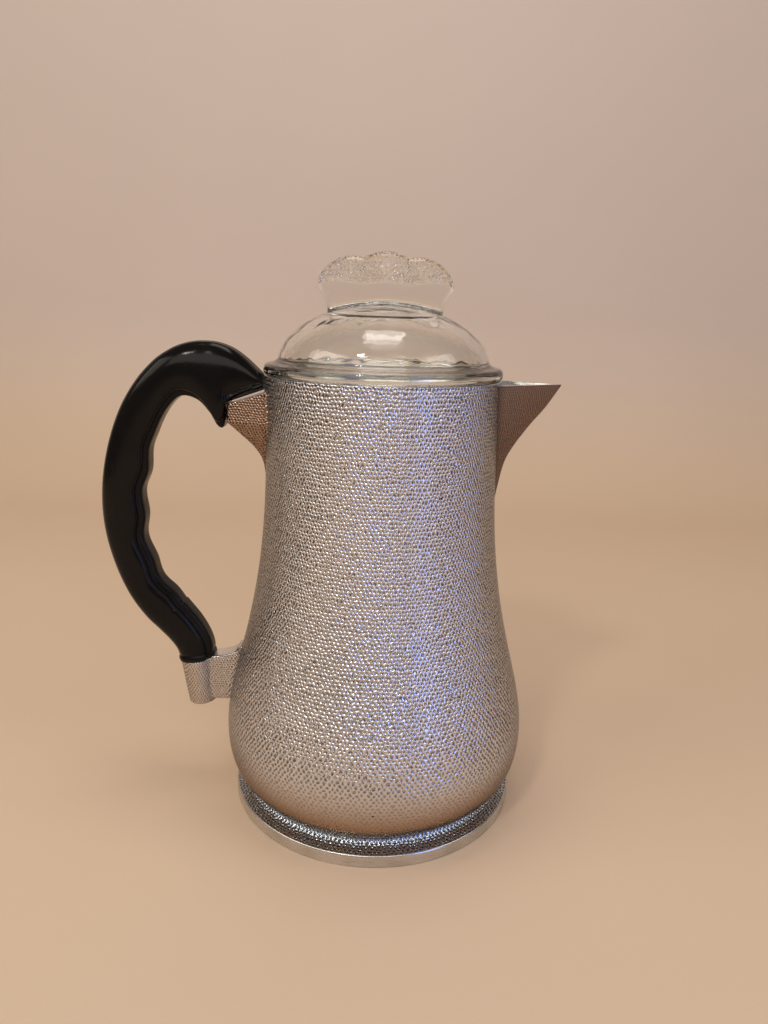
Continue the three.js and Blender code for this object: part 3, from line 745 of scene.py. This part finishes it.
def make_upper_bracket():
    loops = []
    for z in np.linspace(WING_LOW_Z, BRACKET_END_Z, 40):
        tip = -np.interp(z, BRACKET_LOW[:, 1], BRACKET_LOW[:, 0])
        half = wedge_half(tip - SEAM_X, -BRACKET_END_X - SEAM_X, 17.0)
        end_half = min(8.6, 0.6 * half)
        line = mirrored(flank(tip, end_half, half, body_radius(z), 2.5, 1.2, 22), -1)
        loops.append((line, np.full(len(line), z)))
    line = loops[-1][0]
    for t in np.linspace(0, 1, 20)[1:]:
        top = bracket_face_z(line[:, 0])
        loops.append((line, BRACKET_END_Z + (top - BRACKET_END_Z) * t))
    rings = []
    back_x = -(NECK_R - 2.5)
    for k, (line, z) in enumerate(loops):
        back = np.array([(back_x, line[-1][1]), (back_x, line[0][1])])
        inset = 0.985 if k == len(loops) - 1 else 1.0
        middle = np.array([-62.0, 0])
        shape = middle + (np.vstack([line, back]) - middle) * inset
        rings.append(np.column_stack([shape, np.append(z, [z[-1], z[0]])]))
    bracket = skin("upper_bracket", rings)
    points = coordinates(bracket)
    below = bracket_face_z(points[:, 0]) - points[:, 2]
    hammer(bracket, smooth_step(0.3, 1.6, below) * (from_axis(points) > RIM_R), SIDE_RELIEF)
    _, normal = face_centres(bracket)
    paint(bracket, [MAT_CAST_SIDE, MAT_POLISHED], np.where(normal[:, 2] > 0.8, 1, 0))
    shade(bracket, 50)
    finish_piece(bracket, "pot", ["upper_handle_bracket"])
    return bracket


SOCKET_TOP = np.array([-95.0, 0, 69.1])
SOCKET_TILT = math.radians(-6)
SOCKET_LENGTH = 25.4
SOCKET_FRAME = Matrix.Translation(SOCKET_TOP * MM) @ Matrix.Rotation(SOCKET_TILT, 4, "Y")


def make_lower_socket():
    foot = -SOCKET_LENGTH
    outline = [(0, foot), (6.4, foot), (7.4, foot + 0.9), (8.6, -0.5), (8.2, 0), (0, 0)]
    barrel = revolve("lower_socket", outline, 96)
    barrel.data.transform(SOCKET_FRAME)
    side = np.vstack([[(-90, 47.2), (-84, 46.5), (-73, 46.5)], [(-66, 56), (-66, 82.5), (-68.6, 82.5)],
                      bezier([(-68.9, 81), (-71.2, 73.8), (-78, 71.3), (-90, 71.0)], 10)])
    rings = []
    for y, grow in ((-5.0, -0.7), (-4.4, 0), (4.4, 0), (5.0, -0.7)):
        middle = side.mean(axis=0)
        shape = middle + (side - middle) * (1 + grow / 18)
        rings.append(np.column_stack([shape[:, 0], np.full(len(shape), y), shape[:, 1]]))
    web = skin("web", rings)
    combine(barrel, web, "UNION")
    wings = []
    for z in (47.5, 55, 64, 71, 76.5):
        r = float(body_radius(z))
        reach = np.interp(z, [47, 70, 76.5], [r + 3.0, r + 2.6, r + 1.9])
        wings.append([(-r + 1.6, -7.4, z), (-reach, -4.4, z), (-reach, 4.4, z), (-r + 1.6, 7.4, z)])
    combine(barrel, skin("wings", wings), "UNION")
    recess = revolve("recess", [(0, foot - 4), (4.6, foot - 4), (4.6, foot + 5.4), (0, foot + 5.4)], 64)
    recess.data.transform(SOCKET_FRAME)
    combine(barrel, recess, "DIFFERENCE")
    remesh(barrel, 0.42, 6)
    points = coordinates(barrel)
    vertex_normal = np.empty(3 * len(barrel.data.vertices))
    barrel.data.vertices.foreach_get("normal", vertex_normal)
    upward = vertex_normal.reshape(-1, 3)[:, 2]
    clear_of_body = smooth_step(2.0, 4.0, from_axis(points) - body_radius(points[:, 2]))
    upright = 1 - smooth_step(0.45, 0.8, np.abs(upward))
    hammer(barrel, upright * clear_of_body * 0.8, SIDE_RELIEF)
    _, normal = face_centres(barrel)
    paint(barrel, [MAT_CAST_SOCKET, MAT_POLISHED], np.where(normal[:, 2] > 0.72, 1, 0))
    shade(barrel, 60)
    finish_piece(barrel, "pot", ["lower_handle_socket"])
    return barrel


# ---------------- handle
# Stations from the beak to the lower end: outer x, z, inner x, z, half width.
GRIP_STATIONS = [
    (-55.6, 216.4, -55.0, 210.6, 7.0),
    (-60.3, 221.1, -59.8, 208.6, 8.2),
    (-66.0, 226.3, -66.6, 206.8, 9.0),
    (-72.2, 230.5, -74.0, 202.0, 9.6),
    (-79.0, 232.9, -76.6, 193.2, 10.0),
    (-85.3, 233.4, -79.5, 192.9, 10.0),
    (-90.6, 233.1, -83.4, 199.4, 10.0),
    (-96.3, 231.8, -89.2, 205.4, 10.0),
    (-102.6, 229.1, -97.0, 207.0, 10.0),
    (-110.0, 224.0, -103.6, 201.4, 10.0),
    (-118.8, 214.6, -109.3, 191.5, 10.0),
    (-127.0, 201.7, -112.8, 181.0, 10.0),
    (-133.4, 185.9, -114.6, 169.9, 10.0),
    (-137.7, 168.2, -116.7, 158.5, 10.0),
    (-139.2, 151.0, -117.3, 147.0, 10.0),
    (-137.8, 134.8, -116.8, 135.5, 10.0),
    (-133.6, 118.0, -114.2, 123.6, 10.0),
    (-127.6, 103.8, -109.6, 114.0, 9.9),
    (-120.6, 92.9, -103.7, 105.7, 9.7),
    (-114.2, 86.0, -98.0, 98.6, 9.4),
    (-109.0, 80.3, -92.4, 91.2, 9.1),
    (-105.6, 75.6, -88.2, 83.6, 8.9),
    (-104.1, 71.6, -86.0, 76.6, 8.8),
    (-103.7, 66.0, -85.6, 68.6, 8.8),
]
GROOVE_PEAKS = (190.0, 169.9, 147.0, 123.6, 105.7, 92.0)
GROOVE_DEPTHS = (1.0, 1.7, 1.7, 1.5, 0.7)
JOINT_POINT = np.array([-74.9, 204.7])
JOINT_ALONG = np.array([0.943, 0.333])
JOINT_UP = np.array([-0.333, 0.943])


def groove_depth(z):
    """How far the finger grooves are sunk into the inside of the handle at a height."""
    depth = np.zeros_like(z)
    for high, low, deep in zip(GROOVE_PEAKS, GROOVE_PEAKS[1:], GROOVE_DEPTHS):
        phase = np.clip((high - z) / (high - low), 0, 1)
        depth += deep * np.sin(math.pi * phase) ** 2
    return depth


def grip_section(depth, half):
    """Closed outline of the handle's section as depth from the outside, and width: a round back, full
    sides, and a narrower ridge along the inside."""
    step = depth - min(3.2, 0.3 * depth)
    right = [(0.0, 0.0), (0.0, 0.07), (0.3, 0.16), (0.35, 0.45), (0.13 * depth, 0.83), (0.34 * depth, 1.0),
             (0.6 * depth, 1.0), (step - 2.2, 0.95), (step - 0.3, 0.84), (step, 0.64), (step + 0.4, 0.6),
             (depth - 0.8, 0.56), (depth, 0.4), (depth, 0.0)]
    right = np.array(right) * (1, half)
    left = right[1:-1][::-1] * (1, -1)
    return chaikin(np.vstack([right, left]), 2)


def make_grip():
    table = spline(GRIP_STATIONS, 16)
    loops = []
    for row in table:
        outer, inner, half = row[:2], row[2:4], row[4]
        inward = (inner - outer) / np.linalg.norm(inner - outer)
        depth = np.linalg.norm(inner - outer) - (groove_depth(inner[1:2])[0] if inner[0] < -100 else 0)
        section = grip_section(depth, half)
        place = outer + section[:, :1] * inward
        loops.append(np.column_stack([place[:, 0], section[:, 1], place[:, 1]]))
    loops = np.array(loops)
    up = (loops[:, :, [0, 2]] - JOINT_POINT) @ JOINT_UP
    along = (loops[:, :, [0, 2]] - JOINT_POINT) @ JOINT_ALONG
    near = smooth_step(-6, 1, along)
    bead = smooth_step(0.0, 0.5, up) * (1 - smooth_step(2.3, 2.9, up)) * 0.45
    notch = np.exp(-((up - 3.3) / 0.45) ** 2) * 0.35
    width = np.sign(loops[:, :, 1]) * (bead - notch) * near * (np.abs(loops[:, :, 1]) > 3)
    loops[:, :, 1] += width
    world_to_socket = np.array(SOCKET_FRAME.inverted())
    local = loops @ world_to_socket[:3, :3].T + world_to_socket[:3, 3] / MM
    ring = np.exp(-((local[:, :, 2] - 1.6) / 1.1) ** 2) * 0.5
    ring -= np.exp(-((local[:, :, 2] - 3.6) / 0.5) ** 2) * 0.3
    flat_radius = np.hypot(local[:, :, 0], local[:, :, 1])
    low_end = local[:, :, 2] < 12
    local[:, :, :2] *= (1 + np.where(low_end, ring / np.maximum(flat_radius, 3), 0))[:, :, None]
    to_world = np.array(SOCKET_FRAME)
    loops = local @ to_world[:3, :3].T + to_world[:3, 3] / MM
    grip = skin("grip", loops)
    under = [(-75.4, 185), (-75.4, 204.3), (-74.9, 204.9), (-40, 217.3), (-40, 185)]
    rings = [[(x, y, z) for x, z in under] for y in (-25, 25)]
    combine(grip, skin("bracket_room", rings), "DIFFERENCE")
    room = revolve("body_room", [(0, 190), (RIM_R + 0.25, 190), (RIM_R + 0.25, 240), (0, 240)], 180)
    combine(grip, room, "DIFFERENCE")
    below = revolve("below_mouth", [(0, -20), (16, -20), (16, 0.12), (0, 0.12)], 32)
    below.data.transform(SOCKET_FRAME)
    combine(grip, below, "DIFFERENCE")
    paint(grip, [MAT_PHENOLIC])
    shade(grip, 38)
    finish_piece(grip, "pot", ["handle_grip"])
    return grip


# ---------------- glass lid
FAN_NOTCHES = [(32.3, 259.5), (27.6, 269.0), (10.7, 273.1), (-10.7, 273.1), (-27.6, 269.0), (-32.3, 259.5)]
FAN_BULGES = (1.2, 2.3, 3.0, 2.3, 1.2)
DOME_R, DOME_Z, DOME_H = 51.0, 222.0, 30.0
GLASS = 4.0


def dome(inset, from_z, steps):
    """[radius, z] points of the dome from its foot to the crown."""
    power = 2.1
    r, h = DOME_R - inset, DOME_H - inset
    start = math.asin(((from_z - DOME_Z) / h) ** (power / 2))
    angle = np.linspace(start, math.pi / 2, steps)
    return np.column_stack([r * np.maximum(np.cos(angle), 0) ** (2 / power),
                            DOME_Z + h * np.sin(angle) ** (2 / power)])


def fan_outline():
    """Side, scalloped top and side of the fan, from the right-hand foot to the left-hand foot."""
    side = bezier([(27.4, 247.6), (27.4, 253), (28.6, 255.5), FAN_NOTCHES[0]], 24)
    top = []
    for (x0, z0), (x1, z1), bulge in zip(FAN_NOTCHES, FAN_NOTCHES[1:], FAN_BULGES):
        chord = math.hypot(x1 - x0, z1 - z0)
        t = np.linspace(0, 1, 24, endpoint=False)
        out = 4 * bulge * t * (1 - t)
        top.extend(zip(x0 + (x1 - x0) * t + (z1 - z0) / chord * out,
                       z0 + (z1 - z0) * t - (x1 - x0) / chord * out))
    top.append(FAN_NOTCHES[-1])
    return side, np.array(top)


def make_fan():
    side, top = fan_outline()
    cols, rows = 200, 70
    right = resample(side, count=rows)
    top = resample(top, count=cols)
    left = right * (-1, 1)
    bottom = np.column_stack([np.linspace(27.4, -27.4, cols), np.full(cols, 247.6)])
    s = np.linspace(0, 1, cols)[None, :, None]
    t = np.linspace(0, 1, rows)[:, None, None]
    patch = ((1 - t) * bottom[None] + t * top[None] + (1 - s) * right[:, None] + s * left[:, None]
             - (1 - t) * ((1 - s) * right[0] + s * left[0]) - t * ((1 - s) * right[-1] + s * left[-1]))
    x, z = patch[:, :, 0], patch[:, :, 1]
    edge = np.minimum(np.minimum(s[..., 0], 1 - s[..., 0]) * 60, (1 - t[..., 0]) * 26)
    edge = np.minimum(edge, 2.6) / 2.6
    rounding = np.sqrt(np.maximum(1 - (1 - edge) ** 2, 0))
    half = np.interp(z, [247, 252, 262, 277], [3.3, 3.2, 3.0, 2.4])
    crown = dome(0, 226.6, 60)[::-1]
    above = z - np.interp(np.abs(x), crown[:, 0], crown[:, 1])
    half = half + 1.5 * np.exp(-np.maximum(above, 0) / 0.9)
    border = 261.6 + 1.6 * np.abs(np.sin(x * math.pi / 21.5 + math.pi / 2)) - 0.9
    panel = smooth_step(0, 0.8, z - border) * (edge > 0.6)
    dots = np.cos(x * 2 * math.pi / 1.5) * np.cos(z * 2 * math.pi / 1.5)
    half = (half + panel * (0.3 + 0.32 * dots)) * rounding
    front = np.stack([x, -half, z], -1).reshape(-1, 3)
    back = np.stack([x, half, z], -1).reshape(-1, 3)
    faces = grid_faces(rows, cols, closed_cols=False)
    count = rows * cols
    faces += [tuple(i + count for i in reversed(f)) for f in faces]
    base = [(j, j + 1, count + j + 1, count + j) for j in range(cols - 1)]
    fan = mesh_object("fan", np.vstack([front, back]), faces + base)
    bm = bmesh.new()
    bm.from_mesh(fan.data)
    bmesh.ops.remove_doubles(bm, verts=bm.verts, dist=1e-7)
    bmesh.ops.dissolve_degenerate(bm, edges=bm.edges, dist=1e-8)
    bm.to_mesh(fan.data)
    bm.free()
    fix_normals(fan)
    return fan


def make_lid():
    low, high = RIM_Z + 0.3, RIM_Z + 5.3
    skirt_r, skirt_z = 51.9, RIM_Z - 6
    outer = dome(0, 226.6, 60)
    inner = dome(GLASS, 222.8, 60)[::-1]
    ring = 0.35 * np.exp(-((inner[:, 0] - 25) / 1.2) ** 2)
    inner = inner - np.column_stack([0 * ring, ring])
    flange = np.vstack([
        bezier([(skirt_r, low + 0.0), (54, low - 0.05), (LID_R - 1.6, low)], 4),
        bezier([(LID_R - 1.6, low), (LID_R, low + 0.1), (LID_R, low + 1.8)], 6)[1:],
        bezier([(LID_R, low + 1.8), (LID_R, high - 0.4), (LID_R - 1.9, high)], 8)[1:],
        bezier([(LID_R - 1.9, high), (53.6, high + 0.5), (52.3, high + 0.2), tuple(outer[0])], 10)[1:],
    ])
    skirt_in = skirt_r - GLASS
    skirt = np.vstack([
        bezier([(skirt_in, skirt_z + 0.8), (skirt_in, skirt_z), (skirt_in + 1.2, skirt_z)], 4),
        bezier([(skirt_r - 1.2, skirt_z), (skirt_r - 0.2, skirt_z), (skirt_r - 0.1, skirt_z + 1)], 4),
    ])
    crown = [(0, outer[-1][1]), (0, inner[0][1])]
    profile = np.vstack([skirt, flange, outer[1:-1], crown, inner[1:]])
    lid = revolve("lid", profile, 256, closed=True)
    combine(lid, make_fan(), "UNION")
    paint(lid, [MAT_GLASS])
    shade(lid, 35)
    finish_piece(lid, "lid", ["glass_lid"])
    return lid


# ---------------- percolator works
def drill_rings(obj, rings, radius, low, high, sides=18):
    """Rings of round holes along Z."""
    places = []
    for ring_r, count in rings:
        angle = np.arange(count) * 2 * math.pi / count
        places += list(zip(ring_r * np.cos(angle), ring_r * np.sin(angle)))
    turn = np.linspace(0, 2 * math.pi, sides, endpoint=False)
    drill(obj, [[(x + radius * math.cos(t), y + radius * math.sin(t), z) for z in (low, high) for t in turn]
                for x, y in places], sides)


def rounded_tube(name, outer_r, inner_r, low, high, edge=0.25):
    profile = [(inner_r, low + edge), (inner_r + edge, low), (outer_r - edge, low), (outer_r, low + edge),
               (outer_r, high - edge), (outer_r - edge, high), (inner_r + edge, high),
               (inner_r, high - edge)]
    return revolve(name, profile, 96, closed=True)


def finish_spun(obj, body, node):
    """The look of the thin spun and drawn aluminium inside the pot."""
    paint(obj, [MAT_SPUN])
    shade(obj)
    finish_piece(obj, body, [node])


def make_works():
    tube_low, tube_high = node_box("pump_tube")
    stem = rounded_tube("stem", tube_high[0], 3.7, tube_low[2], tube_high[2])
    finish_spun(stem, "pump", "pump_tube")
    make_bell()
    for name, node, inner_r, body in (("plate", "bell_plate", 3.4, "pump"),
                                      ("stop_collar", "basket_stop", 5.05, "pump"),
                                      ("sleeve", "basket_sleeve", 5.15, "basket")):
        low, high = node_box(node)
        finish_spun(rounded_tube(name, high[0], inner_r, low[2], high[2]), body, node)

    low, high = node_box("valve_washer")
    washer = revolve("washer", [(0, low[2]), (high[0] - 0.2, low[2]), (high[0], low[2] + 0.2),
                                (high[0], high[2] - 0.2), (high[0] - 0.2, high[2]), (0, high[2])], 96)
    paint(washer, [MAT_STEEL])
    shade(washer)
    finish_piece(washer, "valve", ["valve_washer"])
    make_basket()
    make_spreader()


def make_bell():

    bell_low, bell_high = node_box("pump_bell")
    r, neck_r = bell_high[0], 6.3
    z0, z1 = bell_low[2], bell_high[2]
    flare = bezier([(r, z0 + 3.4), (r - 1, 13), (neck_r + 8, 16), (neck_r + 2, 19), (neck_r, 21)], 28)
    inner = flare[::-1] - (1.1, 0.6)
    bore = 5.05
    collar = [(neck_r, z1 - 0.3), (neck_r - 0.3, z1), (bore, z1), (bore, 20.4)]
    profile = np.vstack([[(r - 1.2, z0), (r, z0)], flare, collar, inner[inner[:, 0] > bore + 0.1],
                         [(r - 1.2, z0 + 3)]])
    bell = revolve("bell", profile, 144, closed=True)
    for i in range(3):
        gap = skin("inlet", [[(r - 8, -7, z), (r + 5, -7, z), (r + 5, 7, z), (r - 8, 7, z)]
                             for z in (z0 - 2, z0 + 2.6)])
        gap.data.transform(Matrix.Rotation(2 * math.pi * i / 3, 4, "Z"))
        combine(bell, gap, "DIFFERENCE")
    finish_spun(bell, "pump", "pump_bell")


def make_basket():
    low, high = node_box("coffee_basket")
    rim_r, z0, z1 = 48.5, low[2], high[2]
    side_r = 45.0
    corner = bezier([(side_r - 3, z0), (side_r, z0), (side_r, z0 + 3)], 6)
    beads = []
    for z in np.linspace(z0 + 3, z1 - 3, 60):
        groove = 0.5 * (np.exp(-((z - z1 + 10) / 1.2) ** 2) + np.exp(-((z - z1 + 14) / 1.2) ** 2))
        beads.append((side_r + (z - z0) / (z1 - z0) - groove, z))
    roll = bezier([(side_r + 1, z1 - 2.4), (rim_r, z1 - 2.6), (rim_r, z1 - 1), (rim_r - 1, z1),
                   (side_r + 0.6, z1)], 12)
    outer = np.vstack([corner, beads, roll])
    inner = np.array([(r - 1.1, z) for r, z in beads][::-1])
    floor = [(side_r - 1.2, z0 + 2.6), (side_r - 3, z0 + 1.1), (6.5, z0 + 1.1)]
    profile = np.vstack([[(6.5, z0)], outer, inner, floor])
    basket = revolve("basket", profile, 128, closed=True)
    drill_rings(basket, ((11, 8), (18, 14), (25, 20), (32, 26), (39, 32)), 1.1, z0 - 2, z0 + 3, 10)
    finish_spun(basket, "basket", "coffee_basket")


def make_spreader():
    high = node_box("spreader_lid")[1]
    r, bore, z = high[0], 5.35, 204.8
    top = z + 1
    profile = [(bore, z), (42.6, z), (42.8, z - 3), (43.8, z - 3), (43.8, z - 0.05), (r - 0.3, z),
               (r, z + 0.4), (r, z + 0.7), (r - 0.3, top), (12, top), (9, top + 0.2), (7.2, top + 1.4),
               (6.8, top + 2.4), (6.8, high[2] - 0.3), (6.5, high[2]), (bore, high[2])]
    spreader = revolve("spreader", profile, 128, closed=True)
    drill_rings(spreader, ((13, 8), (20, 14), (27, 20), (34, 26), (40, 32)), 0.9, z - 2, z + 4, 10)
    finish_spun(spreader, "spreader", "spreader_lid")


# ---------------- hidden fixings keep their CAD shapes
def finish_fixings():
    for node, material in (("handle_bolt", MAT_STEEL), ("handle_lock_washer", MAT_STEEL),
                           ("handle_insert", MAT_BRASS)):
        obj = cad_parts[node]
        obj.data.materials.clear()
        obj.data.materials.append(material)


# ---------------- studio
def make_camera():
    """Same height, tilt and distance as a person standing close to the pot."""
    yaw, pitch, roll = math.radians(0.352), math.radians(14.684), math.radians(1.643)
    forward = Vector((math.sin(yaw) * math.cos(pitch), math.cos(yaw) * math.cos(pitch), -math.sin(pitch)))
    right = forward.cross(Vector((0, 0, 1))).normalized()
    up = right.cross(forward)
    right, up = (right * math.cos(roll) + up * math.sin(roll), up * math.cos(roll) - right * math.sin(roll))
    data = bpy.data.cameras.new("camera")
    data.sensor_width = 36
    data.lens = 26.06
    camera = bpy.data.objects.new("camera", data)
    place = (0.0, -0.36342, 0.24623)
    rows = [(right[i], up[i], -forward[i], place[i]) for i in range(3)]
    camera.matrix_world = Matrix(rows + [(0, 0, 0, 1)])
    bpy.context.scene.collection.objects.link(camera)
    bpy.context.scene.camera = camera


def area_light(name, place, target, size, power, colour):
    data = bpy.data.lights.new(name, "AREA")
    data.shape = "RECTANGLE"
    data.size, data.size_y = size
    data.energy = power
    data.color = colour
    light = bpy.data.objects.new(name, data)
    light.location = place
    light.rotation_euler = (Vector(target) - Vector(place)).to_track_quat("-Z", "Y").to_euler()
    bpy.context.scene.collection.objects.link(light)


def make_studio():
    middle = (0, 0, 0.12)
    area_light("front", (-0.1, -1.25, 0.9), middle, (1.5, 0.6), 6.0, (1.0, 0.92, 0.84))
    area_light("left", (-1.2, -0.5, 0.95), middle, (1.1, 0.6), 5.5, (1.0, 0.9, 0.8))
    area_light("right", (1.2, -0.45, 1.0), middle, (0.9, 0.5), 3.2, (1.0, 0.93, 0.87))
    area_light("key", (-0.45, -0.85, 1.15), middle, (0.14, 0.14), 2.5, (1.0, 0.94, 0.86))
    area_light("cool", (0.58, -0.7, 0.22), middle, (0.3, 0.4), 1.15, (0.26, 0.4, 1.0))
    area_light("wall", (0.0, 0.1, 1.6), (0, 0.7, 0.3), (0.6, 0.6), 5, (1.0, 0.93, 0.86))
    world = bpy.data.worlds.new("studio")
    world.use_nodes = True
    world.node_tree.nodes["Background"].inputs[0].default_value = (0.95, 0.86, 0.78, 1)
    world.node_tree.nodes["Background"].inputs[1].default_value = 0.1
    bpy.context.scene.world = world
    bpy.context.scene.view_settings.view_transform = "Standard"
    make_sweep()


def make_sweep():
    """Pale floor that curves up behind the object into a wall."""
    width, front, bend, radius, top = 3000, -3000, 560, 260, 1900
    angle = np.linspace(0, math.pi / 2, 24)
    curve = [(bend + radius * math.sin(t), radius * (1 - math.cos(t))) for t in angle]
    line = np.array([(front, 0)] + curve + [(bend + radius, top)])
    line[:, 1] -= 0.15
    points = [(x, y, z) for y, z in line for x in (-width, width)]
    floor = mesh_object("floor", points, grid_faces(len(line), 2, closed_cols=False))
    floor.data.polygons.foreach_set("use_smooth", [True] * len(floor.data.polygons))
    material, tree, shader, position = new_material("pale_floor")
    cloud = tree.noise(position, 3.0, 3.0)
    height = tree.split(position)[2]
    level = tree.mix(cloud, (0.78, 0.59, 0.42, 1), (0.83, 0.64, 0.46, 1))
    upright = tree.mix(cloud, (0.72, 0.62, 0.56, 1), (0.78, 0.67, 0.6, 1))
    tree.put(shader.inputs["Base Color"], tree.mix(tree.remap(height, 0.0, 0.3), level, upright))
    shader.inputs["Roughness"].default_value = 0.7
    paint(floor, [material])


make_camera()
make_studio()
make_body()
make_foot()
make_spout()
make_upper_bracket()
make_lower_socket()
make_grip()
make_lid()
make_works()
finish_fixings()
